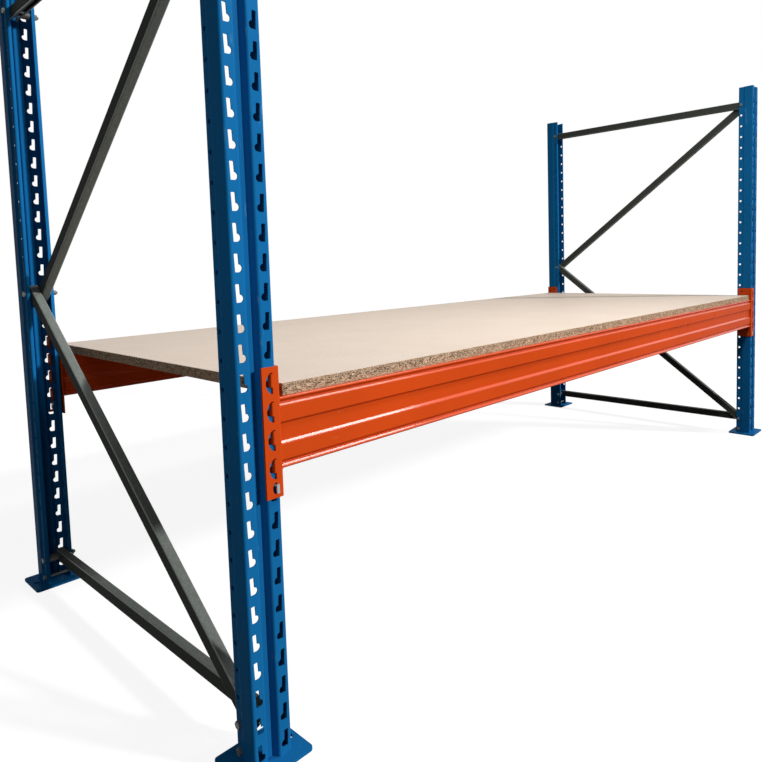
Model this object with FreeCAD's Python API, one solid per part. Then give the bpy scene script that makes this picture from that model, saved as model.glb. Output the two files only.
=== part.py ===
import FreeCAD, Part
import math
import os

from FreeCAD import Placement, Rotation, Vector

# One level of a pallet rack: a chipboard board on two box beams, which hang by hooked connectors on four
# slotted posts. Millimetres, +Z up, X along the beams, front at -Y, origin on the floor in the middle.

# Bay
bay_clear = 2700.0          # between the posts of the two end frames
frame_depth = 1100.0        # front of the front posts to back of the rear posts

# Rows up the posts: each row has a pair of slots and, level with their lower ends, a bolt hole per flange
slot_pitch = 50.0
first_row = 20.0            # lowest row above the floor
beam_row = 13               # row that carries the top hook of each beam
low_brace_row = 1           # row of the lowest brace bolts
joint_rows_above_beam = 3   # rows from the top hook up to the bolt where the two diagonals meet

# Post, a C of sheet with its mouth towards the inside of the frame; its walls step in to narrower flanges
post_width = 78.0
post_depth = 63.0
post_gauge = 2.0
post_bend = 3.0             # inside radius of its folds
post_shoulder = 36.0        # depth of the full width
post_step = 4.0             # of each wall, at 45 degrees
groove_width = 26.0         # at the face
groove_floor = 15.0
groove_depth = 14.0
post_headroom = 80.0        # from the top brace bolts to the post's end

# Keyhole slots in the two strips beside the groove
slot_inset = 11.3           # centre of the slot's upper end from the side of the post
slot_length = 30.5
slot_leg_width = 8.0
slot_lean = 2.5             # degrees, lower ends lean towards the groove
slot_lobe_radius = 6.6
slot_corner = 1.5

# Bolts and the holes they pass
bolt_diameter = 8.0
bolt_clearance = 1.0        # holes over the bolt's diameter
bolt_inset = 12.0           # bolt line from the post's mouth
head_flats = 13.0
head_height = 5.3
nut_height = 6.5
nut_clearance = 0.2
bolt_end = 4.0              # thread beyond the nut

# Braces, lipped channels in two layers side by side in the mouth of the posts
brace_width = 23.0
brace_depth = 32.0
brace_gauge = 1.5
brace_bend = 3.0
brace_play = 2.5            # between the pair and each lip of the mouth
brace_lip = 7.0
brace_end = 18.0            # from the bolt to the end of the channel
spacer_diameter = 20.0

# Beam, a closed box with two proud bands on each face
beam_height = 127.0
beam_depth = 40.0
beam_gauge = 1.8
beam_bend = 1.0
beam_setback = 0.0          # behind the face of the posts
beam_lip = 4.0              # height of the rim above and below
beam_recess = 4.5           # depth of the grooves, with sides at 45 degrees
beam_groove_floor = 2.5
beam_band = 28.0

# Connector, an L plate around the inner front corner of the post
connector_gauge = 4.0
connector_bend = 1.0
connector_seat = 1.5        # clear of the post's side wall
connector_front = 31.0      # front leg, from the side of the post across its face
connector_side = 55.0       # side leg, from the face of the post back along its wall
connector_head = 36.0       # above the seat of the top hook
connector_foot = 24.5       # below the top of the locked slot
hook_count = 4
hook_rise = 20.0            # seat of the top hook above the top of the beam
window_height = 37.0
window_drop = 11.0          # lower end of the window below the seat of its hook
window_width = 14.5
window_corner = 4.5         # flat part at the two ends of the curved side
hook_edge = 9.0             # right side of the hook from the side of the post
hook_height = 23.5
hook_reach = 12.5           # from the face of the post inwards
hook_drop = 11.0            # of the hook's tip behind the post's face
hook_slack = 0.6            # between the hook's tip and the sheet it holds
hook_nose = 4.5             # slanted corners of the hook
hook_bend = 2.5             # outside radius where the hook turns in
side_hole = 8.0
upper_side_hole = (40.0, 21.0)      # behind the post's face, above the seat of the top hook
lower_side_hole = (17.0, 9.0)       # behind the post's face, above the top of the locked slot

# Locking clip in the opening below the hooks
lock_window_width = 9.5
lock_window_height = 21.0
lock_window_rise = 3.0      # above the top of the locked slot
clip_gauge = 2.0
clip_head = 5.5
clip_height = 16.0
clip_shank = 4.0
clip_slack = 0.8            # below the top of the slot
clip_reach = 9.0
clip_catch = 6.0            # behind the post's face, above the slot

# Footplate with two lugs inside the post
foot_gauge = 6.0
foot_side = 30.0            # beyond the post's side walls
foot_front = 25.0           # beyond its face and mouth
foot_corner = 8.0
anchor_diameter = 14.0
lug_gauge = 3.0
lug_clearance = 0.3
lug_length = 36.0
lug_height = 40.0

# Board
board_thickness = 22.0
board_left_gap = 11.5       # to the connectors
board_right_gap = 1.5
board_front_gap = 7.0       # behind the face of the posts, front and rear

half_bay = bay_clear / 2
half_depth = frame_depth / 2
frame_centre = half_bay + post_width / 2
half_flanges = post_width / 2 - post_step
half_beam = half_bay - connector_seat - connector_gauge
bolt_line = half_depth - post_depth + bolt_inset
hole_diameter = bolt_diameter + bolt_clearance
near = 1e-6                 # for telling edges apart


def row_level(row):
    """Height of a row: lower end of its slots and centre of its bolt holes."""
    return first_row + row * slot_pitch


joint_row = beam_row + joint_rows_above_beam
top_brace_row = 2 * joint_row - low_brace_row
post_top = row_level(top_brace_row) + post_headroom
row_count = int((post_top - row_level(0) - slot_length) / slot_pitch) + 1
top_seat = row_level(beam_row)
beam_top = top_seat - hook_rise
lock_slot_top = row_level(beam_row - hook_count) + slot_length
connector_top = top_seat + connector_head
connector_bottom = lock_slot_top - connector_foot


def corner_arc(before, corner, after, gauge, inside_radius, side):
    """Start, middle and end of the arc that one side of a strip makes round a corner of its path."""
    along = (corner - before).normalize()
    onward = (after - corner).normalize()
    turn = math.atan2(along.cross(onward).z, along.dot(onward))
    hand = math.copysign(1.0, turn)
    middle_radius = inside_radius + gauge / 2
    reach = middle_radius * math.tan(abs(turn) / 2)
    left_before = Vector(-along.y, along.x, 0)
    left_after = Vector(-onward.y, onward.x, 0)
    start = corner - along * reach + left_before * (side * gauge / 2)
    end = corner + onward * reach + left_after * (side * gauge / 2)
    centre = corner - along * reach + left_before * (hand * middle_radius)
    outward = (corner - centre).normalize()
    middle = centre + outward * (middle_radius - hand * side * gauge / 2)
    return start, middle, end


def end_point(tip, neighbour, gauge, side):
    """Corner of a strip at one end of its open path; side counts from the tip towards its neighbour."""
    along = (neighbour - tip).normalize()
    return tip + Vector(-along.y, along.x, 0) * (side * gauge / 2)


def strip_side(path, gauge, inside_radius, side, closed):
    """Edges of one side of a strip, with the first and last point."""
    count = len(path)
    corners = range(count) if closed else range(1, count - 1)
    arcs = []
    for i in corners:
        three_points = path[i - 1], path[i], path[(i + 1) % count]
        arcs.append(corner_arc(*three_points, gauge, inside_radius, side))
    first = arcs[-1][2] if closed else end_point(path[0], path[1], gauge, side)
    edges = []
    last = first
    for start, middle, end in arcs:
        edges.append(Part.makeLine(last, start))
        edges.append(Part.Arc(start, middle, end).toShape())
        last = end
    if not closed:
        tip = end_point(path[-1], path[-2], gauge, -side)
        edges.append(Part.makeLine(last, tip))
        last = tip
    return edges, first, last


def open_strip(path, gauge, inside_radius):
    """Face of a sheet strip that follows an open path in XY and is bent round each corner."""
    left, left_first, left_last = strip_side(path, gauge, inside_radius, 1, False)
    right, right_first, right_last = strip_side(path, gauge, inside_radius, -1, False)
    ends = [Part.makeLine(left_last, right_last), Part.makeLine(right_first, left_first)]
    return Part.Face(Part.Wire(Part.__sortEdges__(left + right + ends)))


def closed_strip(path, gauge, inside_radius):
    """Face of a closed tube whose wall follows a path in XY, given counter-clockwise."""
    inner, _, _ = strip_side(path, gauge, inside_radius, 1, True)
    outer, _, _ = strip_side(path, gauge, inside_radius, -1, True)
    return Part.makeFace([Part.Wire(outer), Part.Wire(inner)], "Part::FaceMakerBullseye")


def points(pairs):
    return [Vector(x, y, 0) for x, y in pairs]


def prism(corners, thickness):
    """Solid of a closed outline of corners, pushed along the vector thickness."""
    return Part.Face(Part.makePolygon(corners + [corners[0]])).extrude(thickness)


def box(low, high):
    return Part.makeBox(high[0] - low[0], high[1] - low[1], high[2] - low[2], Vector(*low))


def rod(x, length, y, z, diameter=hole_diameter):
    """Cylinder along X, from x on, as thick as the holes for the bolts unless told otherwise."""
    return Part.makeCylinder(diameter / 2, length, Vector(x, y, z), Vector(1, 0, 0))


def keyhole():
    """Cutter of one slot in the strip on the +X side of a post, with its lower end at Z = 0."""
    top_centre = post_width / 2 - slot_inset
    lean = math.tan(math.radians(slot_lean))
    half_leg = slot_leg_width / 2
    ends = []
    for z in (0.0, slot_length):
        middle = top_centre - lean * (slot_length - z)
        ends.append((Vector(middle - half_leg, -post_gauge, z), Vector(middle + half_leg, -post_gauge, z)))
    (low_inner, low_outer), (high_inner, high_outer) = ends
    through = Vector(0, 3 * post_gauge, 0)
    leg = prism([low_inner, low_outer, high_outer, high_inner], through)
    top_edges = [edge for edge in leg.Edges
                 if abs(edge.BoundBox.YLength - through.y) < near and edge.BoundBox.ZMin > near]
    leg = leg.makeFillet(slot_corner, top_edges)
    lobe_centre = low_outer + Vector(-slot_lobe_radius, 0, slot_lobe_radius)
    lobe = Part.makeCylinder(slot_lobe_radius, through.y, lobe_centre, Vector(0, 1, 0))
    return leg.fuse(lobe).removeSplitter()


def make_post():
    """Post with its face at Y = 0, its mouth towards +Y and its middle at X = 0."""
    half = post_gauge / 2
    side = post_width / 2 - half
    flange = half_flanges - half
    mouth = post_depth - half
    lip = brace_width + brace_play
    right = [(groove_floor / 2, groove_depth + half), (groove_width / 2, half), (side, half),
             (side, post_shoulder), (flange, post_shoulder + post_step), (flange, mouth), (lip, mouth)]
    left = [(-x, y) for x, y in reversed(right)]
    section = open_strip(points(left + right), post_gauge, post_bend)
    section.translate(Vector(0, 0, foot_gauge))
    post = section.extrude(Vector(0, 0, post_top - foot_gauge))
    slot = keyhole()
    mirrored_slot = slot.mirror(Vector(0, 0, 0), Vector(1, 0, 0))
    cutters = []
    for row in range(row_count):
        rise = Vector(0, 0, row_level(row))
        cutters.append(slot.translated(rise))
        cutters.append(mirrored_slot.translated(rise))
        cutters.append(rod(-post_width, 2 * post_width, post_depth - bolt_inset, rise.z))
    return post.cut(cutters)


def make_foot():
    """Footplate under a post that stands as make_post gives it, with a lug inside each flange."""
    half_width = post_width / 2 + foot_side
    plate = box((-half_width, -foot_front, 0), (half_width, post_depth + foot_front, foot_gauge))
    corners = [edge for edge in plate.Edges if abs(edge.BoundBox.ZLength - foot_gauge) < near]
    foot = plate.makeFillet(foot_corner, corners)
    lug_outside = half_flanges - post_gauge - lug_clearance
    lug_back = post_depth - post_gauge - post_bend - lug_clearance
    for hand in (-1, 1):
        sides = sorted((hand * (lug_outside - lug_gauge), hand * lug_outside))
        lug = box((sides[0], lug_back - lug_length, 0), (sides[1], lug_back, foot_gauge + lug_height))
        foot = foot.fuse(lug)
        anchor = Vector(hand * (post_width + foot_side) / 2, post_depth / 2, 0)
        foot = foot.cut(Part.makeCylinder(anchor_diameter / 2, foot_gauge, anchor))
    foot = foot.cut(rod(-post_width, 2 * post_width, post_depth - bolt_inset, row_level(0)))
    return foot.removeSplitter()


def window(width, low, high):
    """Cutter of a D opening in a connector's front leg, straight on its +X side and curved on the other."""
    right = -hook_edge
    flat = right - window_corner
    y = -2 * connector_gauge
    low_end = Vector(flat, y, low)
    high_end = Vector(flat, y, high)
    curve = Part.Arc(high_end, Vector(right - width, y, (low + high) / 2), low_end).toShape()
    straight = Part.makePolygon([low_end, Vector(right, y, low), Vector(right, y, high), high_end])
    outline = Part.Wire(Part.__sortEdges__([curve] + straight.Edges))
    return Part.Face(outline).extrude(Vector(0, 3 * connector_gauge, 0))


def hook(seat):
    """Tab that turns in through a slot, sits on its lower end at seat and drops behind the post's face."""
    left = -hook_edge - connector_gauge
    behind = post_gauge + hook_slack
    low = seat - hook_drop
    high = seat + hook_height
    outline = [(-connector_gauge, seat), (behind, seat), (behind, low), (hook_reach - hook_nose, low),
               (hook_reach, low + hook_nose), (hook_reach, high - hook_nose), (hook_reach - hook_nose, high),
               (-connector_gauge, high)]
    tab = prism([Vector(left, y, z) for y, z in outline], Vector(connector_gauge, 0, 0))
    turned = [edge for edge in tab.Edges
              if abs(edge.BoundBox.XMax - left) < near and abs(edge.BoundBox.YMax + connector_gauge) < near]
    return tab.makeFillet(hook_bend, turned)


def make_connector():
    """Left connector: X = 0 is the post's inner side wall with the beam at +X, Y = 0 the post's face."""
    half = connector_gauge / 2
    wall = connector_seat + half
    section = open_strip(points([(-connector_front, -half), (wall, -half), (wall, connector_side)]),
                         connector_gauge, connector_bend)
    section.translate(Vector(0, 0, connector_bottom))
    plate = section.extrude(Vector(0, 0, connector_top - connector_bottom))
    cutters = []
    hooks = []
    for row in range(hook_count):
        seat = top_seat - row * slot_pitch
        low = seat - window_drop
        cutters.append(window(window_width, low, low + window_height))
        hooks.append(hook(seat))
    lock_high = lock_slot_top + lock_window_rise
    cutters.append(window(lock_window_width, lock_high - lock_window_height, lock_high))
    for level, (back, rise) in ((top_seat, upper_side_hole), (lock_slot_top, lower_side_hole)):
        cutters.append(rod(0, 2 * connector_side, back, level + rise, side_hole))
    return plate.cut(cutters).fuse(hooks).removeSplitter()


def make_clip():
    """Locking clip of the left connector: a head on the front leg, and a shank with a catch in the slot."""
    front = -connector_gauge
    left = -hook_edge - clip_gauge
    top = lock_slot_top - clip_slack
    head = box((left, front - clip_gauge, top - clip_height), (left + clip_head, front, top))
    behind = post_gauge + hook_slack
    outline = [(front, top - clip_shank), (clip_reach, top - clip_shank), (clip_reach, top + clip_catch),
               (behind, top + clip_catch), (behind, top), (front, top)]
    shank = prism([Vector(left, y, z) for y, z in outline], Vector(clip_gauge, 0, 0))
    return head.fuse(shank).removeSplitter()


def beam_path():
    """Middle line of the beam's wall, counter-clockwise, front face at x = 0 and base at y = 0."""
    half = beam_gauge / 2
    rises = [beam_lip, beam_recess, beam_groove_floor, beam_recess, beam_band, beam_recess]
    insets = [half, half + beam_recess, half + beam_recess, half, half, half + beam_recess]
    lower = []
    height = 0.0
    for rise, inset in zip(rises, insets):
        height += rise
        lower.append((inset, height))
    upper = [(inset, beam_height - height) for inset, height in reversed(lower)]
    front = [(half, half)] + lower + upper + [(half, beam_height - half)]
    back = [(beam_depth - inset, height) for inset, height in front]
    return points(back + front[::-1])


def make_beam():
    """Front beam between the side legs of its two connectors."""
    tube = closed_strip(beam_path(), beam_gauge, beam_bend).extrude(Vector(0, 0, 2 * half_beam))
    start = Vector(-half_beam, -half_depth + beam_setback, beam_top - beam_height)
    lying = Rotation(Vector(0, 1, 0), Vector(0, 0, 1), Vector(1, 0, 0), "ZXY")
    tube.Placement = Placement(start, lying)
    return tube


def make_brace(start, end):
    """Lipped channel between two bolts in the plane X = 0, its web on the side of (end - start) x X."""
    half = brace_gauge / 2
    side = brace_width / 2 - half
    edge = brace_depth / 2 - half
    lip = brace_width / 2 - brace_lip
    right = [(side, edge), (side, -edge), (lip, -edge)]
    left = [(-x, y) for x, y in reversed(right)]
    along = (end - start).normalize()
    length = (end - start).Length + 2 * brace_end
    channel = open_strip(points(left + right), brace_gauge, brace_bend).extrude(Vector(0, 0, length))
    holes = [rod(-brace_width, 2 * brace_width, 0, z) for z in (brace_end, length - brace_end)]
    channel = channel.cut(holes)
    turned = Rotation(Vector(1, 0, 0), along.cross(Vector(1, 0, 0)), along, "ZXY")
    channel.Placement = Placement(start - along * brace_end, turned)
    return channel


def hexagon(flats, x, length):
    """Hexagonal prism along X, from x on."""
    radius = flats / math.sqrt(3)
    turns = [math.radians(60 * k) for k in range(6)]
    corners = [Vector(x, radius * math.cos(turn), radius * math.sin(turn)) for turn in turns]
    return prism(corners, Vector(length, 0, 0))


def make_bolt():
    """Bolt across a post at X = 0, with its head on the -X flange."""
    start = -half_flanges - head_height
    length = head_height + 2 * half_flanges + nut_height + bolt_end
    shank = rod(start, length, 0, 0, bolt_diameter)
    return hexagon(head_flats, start, head_height).fuse(shank).removeSplitter()


def make_nut():
    """Nut of such a bolt, on the +X flange."""
    bore = rod(half_flanges, nut_height, 0, 0, bolt_diameter + nut_clearance)
    return hexagon(head_flats, half_flanges, nut_height).cut(bore)


def make_spacer():
    """Tube in place of a missing brace, centred on X = 0."""
    outside = rod(-brace_width / 2, brace_width, 0, 0, spacer_diameter)
    return outside.cut(rod(-brace_width / 2, brace_width, 0, 0))


def half_turn(shape):
    """Copy turned about the middle of the bay, from the front side to the rear side."""
    turned = shape.copy()
    turned.rotate(Vector(0, 0, 0), Vector(0, 0, 1), 180)
    return turned


def save(name, shape):
    shape.exportStep(os.path.join("parts", name + ".step"))


def save_group(name, shape, places):
    """One node of separate, equal solids."""
    save(name, Part.makeCompound([shape.translated(place) for place in places]))


def save_corners(name, left_front, right_front):
    """One node per corner; the rear pair is the front pair turned about the middle of the bay."""
    save("front_left_" + name, left_front)
    save("front_right_" + name, right_front)
    save("rear_left_" + name, half_turn(right_front))
    save("rear_right_" + name, half_turn(left_front))


def save_frame(side, centre):
    """Braces, bolts, nuts and spacers of one end frame whose posts have their middle at X = centre."""
    levels = {name: row_level(row) for name, row in
              (("bottom", low_brace_row), ("joint", joint_row), ("top", top_brace_row))}
    front = {name: Vector(centre, -bolt_line, z) for name, z in levels.items()}
    rear = {name: Vector(centre, bolt_line, z) for name, z in levels.items()}
    outer_layer = Vector(-brace_width / 2, 0, 0)
    inner_layer = Vector(brace_width / 2, 0, 0)
    braces = {"lower_diagonal": (rear["joint"], front["bottom"], outer_layer),
              "upper_diagonal": (front["top"], rear["joint"], inner_layer),
              "bottom_horizontal": (rear["bottom"], front["bottom"], inner_layer),
              "top_horizontal": (rear["top"], front["top"], outer_layer)}
    for name, (start, end, layer) in braces.items():
        save(side + "_" + name, make_brace(start + layer, end + layer))
    places = [front["bottom"], rear["bottom"], rear["joint"], front["top"], rear["top"]]
    save_group(side + "_brace_bolts", make_bolt(), places)
    save_group(side + "_brace_nuts", make_nut(), places)
    single_places = [rear["bottom"] + outer_layer, rear["top"] + inner_layer]
    save_group(side + "_brace_spacers", make_spacer(), single_places)


def main():
    os.makedirs("parts", exist_ok=True)
    post_places = [Vector(hand * frame_centre, -half_depth, 0) for hand in (-1, 1)]
    post = make_post()
    save_corners("post", *[post.translated(place) for place in post_places])
    foot = make_foot()
    save_corners("footplate", *[foot.translated(place) for place in post_places])

    connector_place = Vector(-half_bay, -half_depth, 0)
    across = (Vector(0, 0, 0), Vector(1, 0, 0))
    connector = make_connector().translated(connector_place)
    save_corners("connector", connector, connector.mirror(*across))
    clip = make_clip().translated(connector_place)
    save_corners("locking_clip", clip, clip.mirror(*across))

    beam = make_beam()
    save("front_beam", beam)
    save("rear_beam", half_turn(beam))

    save_frame("left", -frame_centre)
    save_frame("right", frame_centre)

    foot_places = []
    for x in (-frame_centre, frame_centre):
        for y in (-bolt_line, bolt_line):
            foot_places.append(Vector(x, y, row_level(0)))
    save_group("foot_bolts", make_bolt(), foot_places)
    save_group("foot_nuts", make_nut(), foot_places)

    board_low = (-half_beam + board_left_gap, -half_depth + board_front_gap, beam_top)
    board_high = (half_beam - board_right_gap, half_depth - board_front_gap, beam_top + board_thickness)
    save("chipboard_deck", box(board_low, board_high))


main()
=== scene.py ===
import bpy
import math
import numpy as np
from mathutils import Matrix, Vector


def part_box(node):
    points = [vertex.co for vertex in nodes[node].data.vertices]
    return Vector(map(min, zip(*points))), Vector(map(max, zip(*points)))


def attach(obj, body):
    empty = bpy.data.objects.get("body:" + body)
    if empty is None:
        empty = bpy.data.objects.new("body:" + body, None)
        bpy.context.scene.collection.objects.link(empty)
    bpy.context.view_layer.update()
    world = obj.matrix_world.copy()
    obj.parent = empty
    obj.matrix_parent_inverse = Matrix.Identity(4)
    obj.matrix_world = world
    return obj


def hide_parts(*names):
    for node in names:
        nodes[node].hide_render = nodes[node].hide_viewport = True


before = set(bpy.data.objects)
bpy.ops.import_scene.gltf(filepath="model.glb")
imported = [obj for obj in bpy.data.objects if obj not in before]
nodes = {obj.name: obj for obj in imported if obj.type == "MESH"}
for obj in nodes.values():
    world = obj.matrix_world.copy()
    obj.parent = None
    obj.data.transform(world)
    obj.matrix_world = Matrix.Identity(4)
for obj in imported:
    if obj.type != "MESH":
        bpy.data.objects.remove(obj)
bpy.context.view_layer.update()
print("frame loaded,", len(nodes), "nodes")


# a node socket that Python expressions can be written on
class Signal:
    def __init__(self, tree, socket):
        self.tree = tree
        self.socket = socket

    # any node: its type, its settings, what goes into its sockets, and the output that comes back
    def node(self, kind, settings, inputs, output=0):
        made = self.tree.nodes.new(kind)
        for name, value in settings.items():
            if name == "stops":
                setStops(made.color_ramp, value)
            else:
                setattr(made, name, value)
        feed(made, inputs)
        return Signal(self.tree, made.outputs[output])

    def maths(self, operation, *values):
        return self.node("ShaderNodeMath", {"operation": operation}, dict(enumerate(values)))

    def __add__(self, other):
        return self.maths("ADD", self, other)

    def __radd__(self, other):
        return self.maths("ADD", other, self)

    def __sub__(self, other):
        return self.maths("SUBTRACT", self, other)

    def __rsub__(self, other):
        return self.maths("SUBTRACT", other, self)

    def __mul__(self, other):
        return self.maths("MULTIPLY", self, other)

    def __rmul__(self, other):
        return self.maths("MULTIPLY", other, self)


def setStops(ramp, stops):
    ramp.elements.remove(ramp.elements[1])
    ramp.elements[0].position = stops[0][0]
    ramp.elements[0].color = (*stops[0][1], 1.0)
    for place, colour in stops[1:]:
        ramp.elements.new(place).color = (*colour, 1.0)


# links signals to a node's sockets, and sets plain values on them
def feed(node, inputs):
    for name, value in inputs.items():
        if isinstance(value, Signal):
            node.id_data.links.new(value.socket, node.inputs[name])
        else:
            node.inputs[name].default_value = value


# new material: returns it with its shader node and the object coordinates
def startMaterial(name):
    material = bpy.data.materials.new(name)
    material.use_nodes = True
    tree = material.node_tree
    shader = tree.nodes["Principled BSDF"]
    coords = Signal(tree, tree.nodes.new("ShaderNodeTexCoord").outputs["Object"])
    return material, shader, coords


noiseMiddle = (0.3, 0.7)      # most values of a noise lie between these


def noise(coords, scale, detail, roughness=0.5):
    return coords.node("ShaderNodeTexNoise", {}, {"Vector": coords, "Scale": scale, "Detail": detail,
                                                  "Roughness": roughness})


def stretched(coords, scale, turn=(0.0, 0.0, 0.0)):
    return coords.node("ShaderNodeMapping", {}, {"Vector": coords, "Scale": scale, "Rotation": turn})


def axisPart(vector, axis):
    return vector.node("ShaderNodeSeparateXYZ", {}, {"Vector": vector}, axis)


# one random grey for each cell
def cellTone(coords, scale):
    cell = coords.node("ShaderNodeTexVoronoi", {}, {"Vector": coords, "Scale": scale}, "Color")
    return cell.node("ShaderNodeRGBToBW", {}, {"Color": cell})


# distance from the borders of the same cells
def cellBorder(coords, scale):
    return coords.node("ShaderNodeTexVoronoi", {"feature": "DISTANCE_TO_EDGE"},
                       {"Vector": coords, "Scale": scale}, "Distance")


def colourRamp(value, stops):
    return value.node("ShaderNodeValToRGB", {"stops": stops}, {"Fac": value})


def span(value, low, high, newLow=0.0, newHigh=1.0):
    return value.node("ShaderNodeMapRange", {"clamp": True}, {
        "Value": value, "From Min": low, "From Max": high, "To Min": newLow, "To Max": newHigh})


def blend(share, first, second):
    def rgba(colour):
        return colour if isinstance(colour, Signal) else (*colour, 1.0)
    return share.node("ShaderNodeMix", {"data_type": "RGBA"}, {0: share, 6: rgba(first), 7: rgba(second)}, 2)


def relief(height, depth):
    return height.node("ShaderNodeBump", {}, {"Height": height, "Distance": depth}, "Normal")


def shade(colour, factor):
    return tuple(channel * factor for channel in colour)


# narrow bands of clear coat along bends, which catch the light there
def coatBends(shader, coords, bends):
    place = axisPart(coords, bends["axis"])
    bands = [place.maths("COMPARE", place, middle, bends["halfWidth"]) for middle in bends["places"]]
    feed(shader, {"Coat Weight": sum(bands), "Coat Roughness": bends["roughness"]})


# powder coat: slow change of tone, fine orange peel, a few pale rubs
def powderCoat(name, look):
    material, shader, coords = startMaterial(name)
    tone = noise(coords, look["toneScale"], detail=3.0)
    colour = blend(span(tone, *noiseMiddle), shade(look["colour"], 1 - look["toneSpread"]),
                   shade(look["colour"], 1 + look["toneSpread"]))
    drawn = stretched(coords, look["rubStretch"], look["rubTurn"])
    rubs = noise(drawn, look["rubScale"], detail=4.0, roughness=0.6)
    rubbed = span(rubs, look["rubFrom"], look["rubFrom"] + look["rubEdge"])
    colour = blend(rubbed * look["rubShare"], colour, look["rubColour"])
    peel = noise(coords, look["peelScale"], detail=1.0)
    smear = noise(coords, look["smearScale"], detail=3.0)
    if look["bends"]:
        coatBends(shader, coords, look["bends"])
    feed(shader, {
        "Base Color": colour,
        "Roughness": span(smear, *noiseMiddle, *look["rough"]) + rubbed * look["rubRough"],
        "Specular IOR Level": look["gloss"],
        "Specular Tint": (*look["glossTint"], 1.0),
        "Normal": relief(peel, look["peelDepth"]),
    })
    return material


bluePaint = powderCoat("bluePowderCoat", {
    "colour": (0.008, 0.145, 0.375), "toneScale": 5.0, "toneSpread": 0.07,
    "rubStretch": (40.0, 40.0, 9.0), "rubTurn": (0.5, 0.35, 0.2), "rubScale": 1.6, "rubFrom": 0.66,
    "rubEdge": 0.06, "rubShare": 0.25, "rubColour": (0.16, 0.36, 0.60), "rubRough": 0.15,
    "peelScale": 900.0, "peelDepth": 0.00003, "smearScale": 14.0, "rough": (0.26, 0.34),
    "gloss": 0.004, "glossTint": (0.6, 0.85, 1.0), "bends": None,
})
orangeLook = {
    "colour": (0.640, 0.070, 0.0095), "toneScale": 4.0, "toneSpread": 0.05,
    "rubStretch": (12.0, 50.0, 50.0), "rubTurn": (0.3, 0.1, 0.4), "rubScale": 1.4, "rubFrom": 0.68,
    "rubEdge": 0.06, "rubShare": 0.2, "rubColour": (0.75, 0.25, 0.12), "rubRough": 0.15,
    "peelScale": 900.0, "peelDepth": 0.00003, "smearScale": 12.0, "rough": (0.22, 0.30),
    "gloss": 0.008, "glossTint": (1.0, 0.75, 0.6), "bends": None,
}
orangePaint = powderCoat("orangePowderCoat", orangeLook)
beamBends = (0.0062, 0.0458, 0.1138, 0.1276)      # bends that look upwards, above the underside
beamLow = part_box("front_beam")[0].z
beamPaint = powderCoat("orangeBeamCoat", {**orangeLook, "bends": {
    "axis": "Z", "places": [beamLow + rise for rise in beamBends], "halfWidth": 0.0033, "roughness": 0.15,
}})


# galvanised sheet: flat crystals of slightly different grey, dull, with painted shade on the flanks that face
# along X, which are given a darker colour for the shade that falls on them
def galvanisedSheet(name, look):
    material, shader, coords = startMaterial(name)
    grey = cellTone(coords, look["crystalScale"])
    film = noise(coords, look["filmScale"], detail=4.0)
    colour = blend(span(grey, *look["crystalRange"]), look["darkest"], look["palest"])
    colour = blend(span(film, *look["filmRange"]) * look["filmShare"], colour, look["filmColour"])
    # painted shade: faces whose normal lies along X are blended towards a dark colour
    if look["flankPaintedShadeShare"]:
        facing = coords.node("ShaderNodeNewGeometry", {}, {}, "Normal")
        across = axisPart(facing, "X")
        paintedFlankShade = span(across * across, *look["flankPaintedShadeRange"])
        colour = blend(paintedFlankShade * look["flankPaintedShadeShare"], colour, look["flankPaintedShadeColour"])
    if look["bends"]:
        coatBends(shader, coords, look["bends"])
    feed(shader, {
        "Base Color": colour,
        "Metallic": look["metal"],
        "Roughness": span(grey, 0.0, 1.0, *look["rough"]) + film * look["filmRough"],
        "Specular IOR Level": look["gloss"],
        "Normal": relief(film, look["filmDepth"]),
    })
    return material


braceBendInset = 0.0016      # middle of a brace's rounded corner, from its flank
braceBends = []
for brace in ("left_lower", "left_upper", "right_lower", "right_upper"):
    braceLow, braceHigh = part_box(brace + "_diagonal")
    braceBends += [braceLow.x + braceBendInset, braceHigh.x - braceBendInset]
galvanised = galvanisedSheet("galvanisedSheet", {
    "crystalScale": 260.0, "crystalRange": (0.2, 0.8), "darkest": (0.155, 0.172, 0.158),
    "palest": (0.192, 0.212, 0.195),
    "filmScale": 22.0, "filmRange": (0.45, 0.75), "filmShare": 0.25, "filmColour": (0.14, 0.15, 0.138),
    "filmRough": 0.08, "filmDepth": 0.00003,
    # painted shade: the dark colour and its share for the flanks that face along X
    "flankPaintedShadeShare": 0.85, "flankPaintedShadeRange": (0.35, 0.95), "flankPaintedShadeColour": (0.05, 0.056, 0.048),
    "bends": {"axis": "X", "places": braceBends, "halfWidth": 0.001, "roughness": 0.2},
    "metal": 0.0, "rough": (0.34, 0.46), "gloss": 0.004,
})
zincLook = {
    "crystalScale": 900.0, "crystalRange": (0.2, 0.8), "darkest": (0.30, 0.305, 0.30),
    "palest": (0.42, 0.42, 0.41),
    "filmScale": 160.0, "filmRange": (0.45, 0.75), "filmShare": 0.4, "filmColour": (0.30, 0.285, 0.25),
    "filmRough": 0.08, "filmDepth": 0.00002,
    "flankPaintedShadeShare": 0.0, "bends": None, "metal": 0.45, "rough": (0.34, 0.46), "gloss": 0.3,
}
brightZinc = galvanisedSheet("brightZinc", zincLook)
dullZinc = galvanisedSheet("dullZinc", {
    **zincLook, "darkest": (0.12, 0.135, 0.135), "palest": (0.20, 0.21, 0.205), "filmColour": (0.13, 0.13, 0.115),
    "metal": 0.25, "gloss": 0.1,
})


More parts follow.
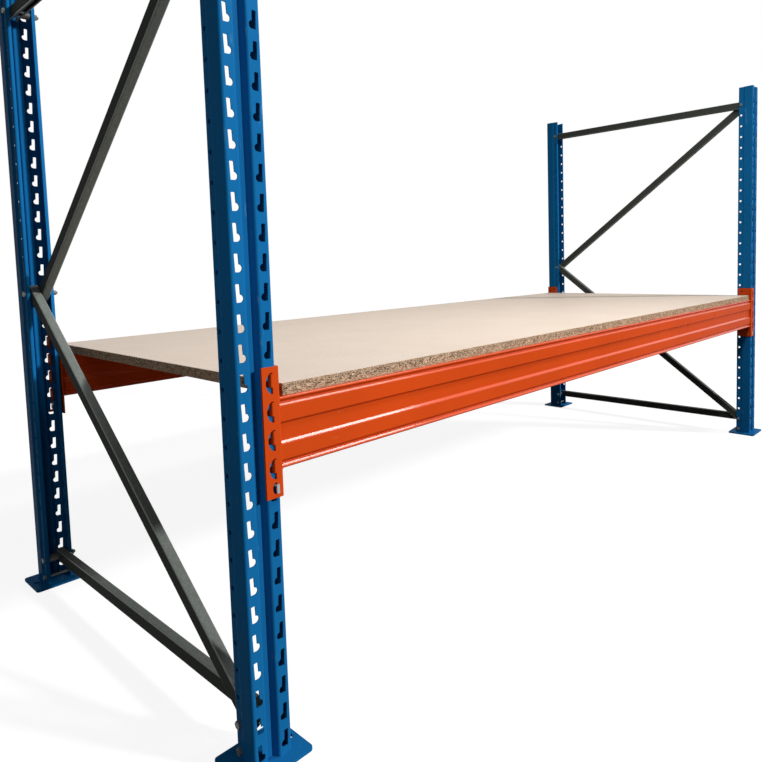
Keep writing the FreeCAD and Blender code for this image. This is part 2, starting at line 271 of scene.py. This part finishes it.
# black moulded plastic of the spacer tubes
def mouldedPlastic(name, look):
    material, shader, coords = startMaterial(name)
    grain = noise(coords, look["grainScale"], detail=3.0)
    feed(shader, {
        "Base Color": blend(grain, shade(look["colour"], 1 - look["spread"]),
                            shade(look["colour"], 1 + look["spread"])),
        "Roughness": span(grain, *noiseMiddle, *look["rough"]),
        "Normal": relief(grain, look["grainDepth"]),
    })
    return material


spacerPlastic = mouldedPlastic("blackPlastic", {
    "colour": (0.03, 0.03, 0.032), "spread": 0.2, "grainScale": 1200.0, "grainDepth": 0.00004,
    "rough": (0.45, 0.6),
})


# pressed face of the board: pale, sanded, fine chips that hardly show
def boardFaceFinish(look):
    material, shader, coords = startMaterial("chipboardFace")
    flat = stretched(coords, look["stretch"])
    chip = span(cellTone(flat, look["chipScale"]), *look["chipRange"])
    dust = noise(flat, look["dustScale"], detail=5.0, roughness=0.65)
    cloud = span(noise(flat, look["cloudScale"], detail=3.0), *look["cloudRange"])
    tone = chip * look["chipWeight"] + span(dust, *noiseMiddle) * look["dustWeight"] + cloud * look["cloudWeight"]
    colour = blend(tone, look["darker"], look["paler"])
    specks = span(noise(flat, look["speckScale"], detail=2.0), *look["speckRange"])
    colour = blend(specks * look["speckShare"], colour, look["speckColour"])
    feed(shader, {
        "Base Color": colour,
        "Roughness": span(dust, *noiseMiddle, *look["rough"]),
        "Specular IOR Level": look["gloss"],
        "Normal": relief(dust, look["grainDepth"]),
    })
    return material


# cut edge of the board: flakes lying flat, coarse in the core and fine near the faces, with gaps that are sunk by
# the bump and painted near black as painted shade
def boardEdgeFinish(look, low, high):
    material, shader, coords = startMaterial("chipboardEdge")
    above = axisPart(coords, "Z") - (low + high) / 2
    offCentre = above.maths("ABSOLUTE", above)
    halfThick = (high - low) / 2
    skin = span(offCentre, look["core"] * halfThick, halfThick)
    flakes = stretched(coords, look["flakeStretch"])
    warp = noise(coords, look["warpScale"], detail=2.0)
    coarseTone = cellTone(flakes, look["coarseScale"])
    fineTone = cellTone(flakes, look["fineScale"])
    coarse = look["coarseWeight"]
    tone = coarseTone * (1 - skin) * coarse + fineTone * (skin * coarse + (1 - coarse))
    colour = colourRamp(tone, look["stops"])
    gapDepthAndPaintedShade = span(cellBorder(flakes, look["coarseScale"]), 0.0, look["gapWidth"], 1.0, 0.0)
    gapDepthAndPaintedShade = gapDepthAndPaintedShade * span(warp, *look["gapRange"]) * (1 - skin)
    # painted shade: the gaps are blended towards near black for the shade inside them
    colour = blend(gapDepthAndPaintedShade * look["gapPaintedShadeShare"], colour, look["gapPaintedShadeColour"])
    height = tone * look["toneHeight"] - gapDepthAndPaintedShade
    feed(shader, {
        "Base Color": colour,
        "Roughness": look["rough"],
        "Specular IOR Level": look["gloss"],
        "Normal": relief(height, look["flakeDepth"]),
    })
    return material


deckLow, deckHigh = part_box("chipboard_deck")
boardFace = boardFaceFinish({
    "darker": (0.70, 0.565, 0.455), "paler": (0.82, 0.70, 0.59), "stretch": (1.0, 1.0, 0.2),
    "chipScale": 420.0, "chipRange": (0.2, 0.8), "chipWeight": 0.45, "dustScale": 900.0, "dustWeight": 0.35,
    "cloudScale": 7.0, "cloudRange": (0.35, 0.65), "cloudWeight": 0.2,
    "speckScale": 240.0, "speckRange": (0.70, 0.74), "speckShare": 0.25, "speckColour": (0.42, 0.30, 0.20),
    "rough": (0.50, 0.62), "gloss": 0.15, "grainDepth": 0.00004,
})
boardEdge = boardEdgeFinish({
    "flakeStretch": (1.0, 1.0, 2.6), "coarseScale": 330.0, "coarseWeight": 0.65, "fineScale": 760.0,
    "warpScale": 90.0, "core": 0.45,
    "stops": [(0.26, (0.055, 0.03, 0.014)), (0.41, (0.26, 0.155, 0.085)), (0.57, (0.57, 0.385, 0.24)),
              (0.76, (0.86, 0.65, 0.47))],
    "gapWidth": 0.16, "gapRange": (0.42, 0.62), "gapPaintedShadeShare": 0.85, "gapPaintedShadeColour": (0.045, 0.024, 0.012),
    "rough": 0.85, "gloss": 0.2, "toneHeight": 0.5, "flakeDepth": 0.0006,
}, deckLow.z, deckHigh.z)
print("finishes ready")


# puts arrays of points and faces into a mesh object that rides on the part
def makePiece(name, points, faces, materials):
    mesh = bpy.data.meshes.new(name)
    mesh.from_pydata(points.reshape(-1, 3).tolist(), [], faces)
    for material in materials:
        mesh.materials.append(material)
    mesh.polygons.foreach_set("use_smooth", np.ones(len(mesh.polygons), dtype=bool))
    mesh.update()
    piece = bpy.data.objects.new(name, mesh)
    bpy.context.scene.collection.objects.link(piece)
    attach(piece, "root")
    return piece


# quads between neighbouring rows of a grid of points whose columns close on themselves
def ringFaces(rows, columns, closedRows=False):
    index = np.arange(rows * columns).reshape(rows, columns)
    upper = index if closedRows else index[:-1]
    lower = np.roll(index, -1, axis=0) if closedRows else index[1:]
    quads = np.stack([upper, lower, np.roll(lower, -1, axis=1), np.roll(upper, -1, axis=1)], axis=-1)
    return quads.reshape(-1, 4)


# each value as the mean of itself and its two neighbours along an axis that closes
def eased(values, axis):
    return (values + np.roll(values, 1, axis=axis) + np.roll(values, -1, axis=axis)) / 3


boardPanel = {
    "arris": 0.0007,      # rounding of the edges
    "arrisSteps": 4,
    "sideRows": 9,        # rows of points up the cut edge
    "step": 0.004,        # points along the cut edge
    "crumble": 0.00055,   # deepest missing flake
    "crumblePower": 3,    # few deep ones, many shallow
    "seed": 11,
}


# random depths on a grid from 0 to 1, eased along the rows
def softRandom(rows, columns, seed):
    values = eased(np.random.default_rng(seed).random((rows, columns)), axis=1)
    return (values - values.min()) / (values.max() - values.min())


# board: the outline of the rectangle carried down a profile of inset and height; an inset point is the
# outline point clipped to the rectangle less that inset, and the cut edge is set back a little at random
def buildBoard(look):
    low = np.array(deckLow)
    high = np.array(deckHigh)
    counts = [int(round(length / look["step"])) for length in (high - low)[:2]]
    along = [np.linspace(low[axis], high[axis], counts[axis], endpoint=False) for axis in (0, 1)]
    back = [high[axis] + low[axis] - along[axis] for axis in (0, 1)]
    outline = np.concatenate([
        np.stack([along[0], np.full(counts[0], low[1])], axis=1),
        np.stack([np.full(counts[1], high[0]), along[1]], axis=1),
        np.stack([back[0], np.full(counts[0], high[1])], axis=1),
        np.stack([np.full(counts[1], low[0]), back[1]], axis=1),
    ])
    turn = np.linspace(0, math.pi / 2, look["arrisSteps"])
    radius = look["arris"]
    levels = np.linspace(high[2] - radius, low[2] + radius, look["sideRows"])[1:-1]
    inset = np.concatenate([radius * (1 - np.sin(turn)), np.zeros(levels.size), radius * (1 - np.cos(turn))])
    height = np.concatenate([high[2] - radius * (1 - np.cos(turn)), levels,
                             low[2] + radius * (1 - np.sin(turn))])
    rows = inset.size
    columns = outline.shape[0]
    hollow = softRandom(rows, columns, look["seed"]) ** look["crumblePower"] * look["crumble"]
    hollow[[0, -1]] = 0.0
    inset = (inset[:, None] + hollow)[..., None]
    xy = np.clip(outline[None], low[:2] + inset, high[:2] - inset)
    points = np.concatenate([xy, np.broadcast_to(height[:, None, None], (rows, columns, 1))], axis=2)
    sides = ringFaces(rows, columns)
    caps = [list(range(columns)), list(range(rows * columns - 1, (rows - 1) * columns - 1, -1))]
    piece = makePiece("boardPanel", points, sides.tolist() + caps, [boardEdge, boardFace])
    finish = np.zeros(len(sides) + len(caps), dtype=np.int32)
    finish[-len(caps):] = 1
    piece.data.polygons.foreach_set("material_index", finish)
    piece.data.polygons.foreach_set("use_smooth", finish == 0)
    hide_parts("chipboard_deck")
    return piece


board = buildBoard(boardPanel)
print("board built,", len(board.data.polygons), "faces")

weldBead = {
    "radius": 0.0018,
    "ripple": 0.14,         # share of the radius
    "ripplePitch": 0.0033,
    "step": 0.0008,
    "around": 12,
    "rounding": 5,          # times that the path is eased at its corners
    "lip": 0.004,           # outline of the beam, as on the solids
    "recess": 0.0045,
    "grooveFloor": 0.0025,
    "band": 0.028,
}


# outline of the beam's section: insets and heights up the front face, then the same down the back
def beamOutline(look, low, high):
    rises = np.array([0, look["lip"], look["recess"], look["grooveFloor"], look["recess"], look["band"],
                      look["recess"]])
    insets = np.array([0, 0, 1, 1, 0, 0, 1]) * look["recess"]
    heights = np.cumsum(rises)
    tall = high.z - low.z
    insets = np.concatenate([insets, insets[::-1]])
    heights = np.concatenate([heights, tall - heights[::-1]])
    front = np.stack([low.y + insets, low.z + heights], axis=1)
    rear = np.stack([high.y - insets, low.z + heights], axis=1)[::-1]
    return np.concatenate([front, rear])


# bead: a tube round the beam's outline, where it meets the connector; the radius swells and shrinks as a sine
# of the distance along the outline
def buildWeld(name, beam, side, look):
    low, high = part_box(beam)
    corners = beamOutline(look, low, high)
    closed = np.concatenate([corners, corners[:1]])
    lengths = np.concatenate([[0], np.cumsum(np.linalg.norm(np.diff(closed, axis=0), axis=1))])
    count = int(lengths[-1] / look["step"])
    walk = np.linspace(0, lengths[-1], count, endpoint=False)
    path = np.stack([np.interp(walk, lengths, closed[:, axis]) for axis in (0, 1)], axis=1)
    for _ in range(look["rounding"]):
        path = eased(path, axis=0)
    tangent = np.roll(path, -1, axis=0) - np.roll(path, 1, axis=0)
    tangent /= np.linalg.norm(tangent, axis=1, keepdims=True)
    outward = np.stack([-tangent[:, 1], tangent[:, 0]], axis=1)
    turn = np.linspace(0, 2 * math.pi, look["around"], endpoint=False)
    swell = look["radius"] * (1 + look["ripple"] * np.sin(2 * math.pi * walk / look["ripplePitch"]))
    across = swell[:, None] * np.cos(turn)
    along = swell[:, None] * np.sin(turn)
    x = (low.x if side < 0 else high.x) + along
    yz = path[:, None, :] + across[..., None] * outward[:, None, :]
    points = np.concatenate([x[..., None], yz], axis=2)
    faces = ringFaces(count, look["around"], closedRows=True)[:, ::-1]    # outwards
    return makePiece(name, points, faces.tolist(), [orangePaint])


for beam in ("front", "rear"):
    for sideName, side in (("left", -1), ("right", 1)):
        buildWeld(beam + sideName.capitalize() + "Weld", beam + "_beam", side, weldBead)
print("welds built")

# finish of each CAD node by the end of its name
nodeFinish = {
    "_post": bluePaint, "_footplate": bluePaint, "_beam": beamPaint, "_connector": orangePaint,
    "_diagonal": galvanised, "_horizontal": galvanised, "_spacers": spacerPlastic,
    "_clip": brightZinc, "_bolts": dullZinc, "_nuts": dullZinc, "_deck": boardFace,
}
for name, node in nodes.items():
    finish = next(finish for ending, finish in nodeFinish.items() if name.endswith(ending))
    for slot in node.material_slots:
        slot.material = finish
print("finishes assigned")

studio = {
    "floorSize": 80.0,
    "floorDrop": 0.0004,      # below the footplates
    "floorGlow": 0.88,        # share of the pale floor that needs no light
    "floorPale": 0.3,         # the lit share, which takes the shadow
    "floorBounce": 0.08,      # what the floor sends back on the part
    "ambient": 0.09,
    "sunDistance": 5.0,
    "keyFrom": (0.43, -0.80, 0.42),
    "keyStrength": 2.8,
    "keyAngle": 5.0,
    "rearFrom": (0.30, 0.92, 0.16),
    "rearStrength": 0.5,      # so that the back isn't dark
    "rearAngle": 40.0,
    "topStrength": 24.0,      # soft box above the front edge
    "topPlace": (-0.15, -1.07, 2.2),
    "topAim": (-0.1, -0.4, 0.65),
    "topSize": (1.7, 0.25),
    "fillStrength": 2.8,      # soft box beside the camera
    "fillPlace": (-2.5, -1.35, 0.95),
    "fillAim": (-1.3, -0.5, 0.75),
    "fillSize": (0.5, 0.5),
}


# 1 for rays that see the background: from the camera, in gloss and through glass
def seesBackground(start):
    rays = start.node("ShaderNodeLightPath", {}, {})
    path = rays.socket.node.outputs
    seen = Signal(start.tree, path["Is Camera Ray"]) + Signal(start.tree, path["Is Glossy Ray"])
    seen = seen + Signal(start.tree, path["Is Transmission Ray"])
    return seen.node("ShaderNodeClamp", {}, {"Value": seen})


def buildFloor(look):
    half = look["floorSize"] / 2
    z = -look["floorDrop"]
    mesh = bpy.data.meshes.new("paleFloor")
    mesh.from_pydata([(-half, -half, z), (half, -half, z), (half, half, z), (-half, half, z)], [], [(0, 1, 2, 3)])
    floor = bpy.data.objects.new("paleFloor", mesh)
    bpy.context.scene.collection.objects.link(floor)
    material = bpy.data.materials.new("paleFloor")
    material.use_nodes = True
    tree = material.node_tree
    tree.nodes.remove(tree.nodes["Principled BSDF"])
    start = Signal(tree, tree.nodes.new("ShaderNodeTexCoord").outputs["Object"])
    glow = start.node("ShaderNodeEmission", {}, {"Color": (1, 1, 1, 1), "Strength": look["floorGlow"]})
    lit, dim = (start.node("ShaderNodeBsdfDiffuse", {}, {"Color": (grey, grey, grey, 1)})
                for grey in (look["floorPale"], look["floorBounce"]))
    pale = start.node("ShaderNodeAddShader", {}, {0: glow, 1: lit})
    shown = start.node("ShaderNodeMixShader", {}, {0: seesBackground(start), 1: dim, 2: pale})
    tree.links.new(shown.socket, tree.nodes["Material Output"].inputs["Surface"])
    mesh.materials.append(material)


def buildWorld(look):
    world = bpy.data.worlds.new("studio")
    bpy.context.scene.world = world
    world.use_nodes = True
    tree = world.node_tree
    start = Signal(tree, tree.nodes.new("ShaderNodeTexCoord").outputs["Generated"])
    soft, white = (start.node("ShaderNodeBackground", {}, {"Color": (1, 1, 1, 1), "Strength": strength})
                   for strength in (look["ambient"], 1.0))
    shown = start.node("ShaderNodeMixShader", {}, {0: seesBackground(start), 1: soft, 2: white})
    tree.links.new(shown.socket, tree.nodes["World Output"].inputs["Surface"])


def addLight(name, kind, settings, place, towards):
    data = bpy.data.lights.new(name, kind)
    for key, value in settings.items():
        setattr(data, key, value)
    light = bpy.data.objects.new(name, data)
    light.location = place
    light.rotation_euler = (Vector(place) - Vector(towards)).to_track_quat("Z", "Y").to_euler()
    bpy.context.scene.collection.objects.link(light)


buildFloor(studio)
buildWorld(studio)
for name in ("key", "rear"):
    addLight(name + "Light", "SUN",
             {"energy": studio[name + "Strength"], "angle": math.radians(studio[name + "Angle"])},
             [studio["sunDistance"] * part for part in studio[name + "From"]], (0, 0, 0))
bpy.data.objects["rearLight"].visible_glossy = False      # no sheen on the board
for name in ("top", "fill"):
    wide, deep = studio[name + "Size"]
    addLight(name + "Light", "AREA",
             {"energy": studio[name + "Strength"], "shape": "RECTANGLE", "size": wide, "size_y": deep},
             studio[name + "Place"], studio[name + "Aim"])
print("studio ready")

# camera of the photograph, fitted to the slots, posts, beams and board
photoCamera = {
    "frame": 762,                       # pixels each way
    "focal": 652.7,                     # pixels
    "axis": (415.1, 309.6),             # pixel on the optical axis
    "place": (-2.00205, -1.49303, 0.88031),
    "yaw": 46.992,                      # from +Y towards +X
    "pitch": 4.262,                     # downwards
    "roll": 1.637,
    "sensor": 36.0,
}


def buildCamera(look):
    yaw, pitch, roll = (math.radians(look[name]) for name in ("yaw", "pitch", "roll"))
    forward = Vector((math.sin(yaw) * math.cos(pitch), math.cos(yaw) * math.cos(pitch), -math.sin(pitch)))
    level = Vector((math.cos(yaw), -math.sin(yaw), 0))
    down = forward.cross(level)
    right = level * math.cos(roll) + down * math.sin(roll)
    down = down * math.cos(roll) - level * math.sin(roll)
    data = bpy.data.cameras.new("photoCamera")
    data.sensor_width = look["sensor"]
    data.lens = look["focal"] / look["frame"] * look["sensor"]
    data.shift_x = 0.5 - look["axis"][0] / look["frame"]
    data.shift_y = look["axis"][1] / look["frame"] - 0.5
    camera = bpy.data.objects.new("photoCamera", data)
    turn = Matrix((right, -down, -forward)).transposed()
    camera.matrix_world = Matrix.Translation(look["place"]) @ turn.to_4x4()
    bpy.context.scene.collection.objects.link(camera)
    bpy.context.scene.camera = camera


buildCamera(photoCamera)
bpy.context.scene.view_settings.view_transform = "Standard"
print("camera ready")
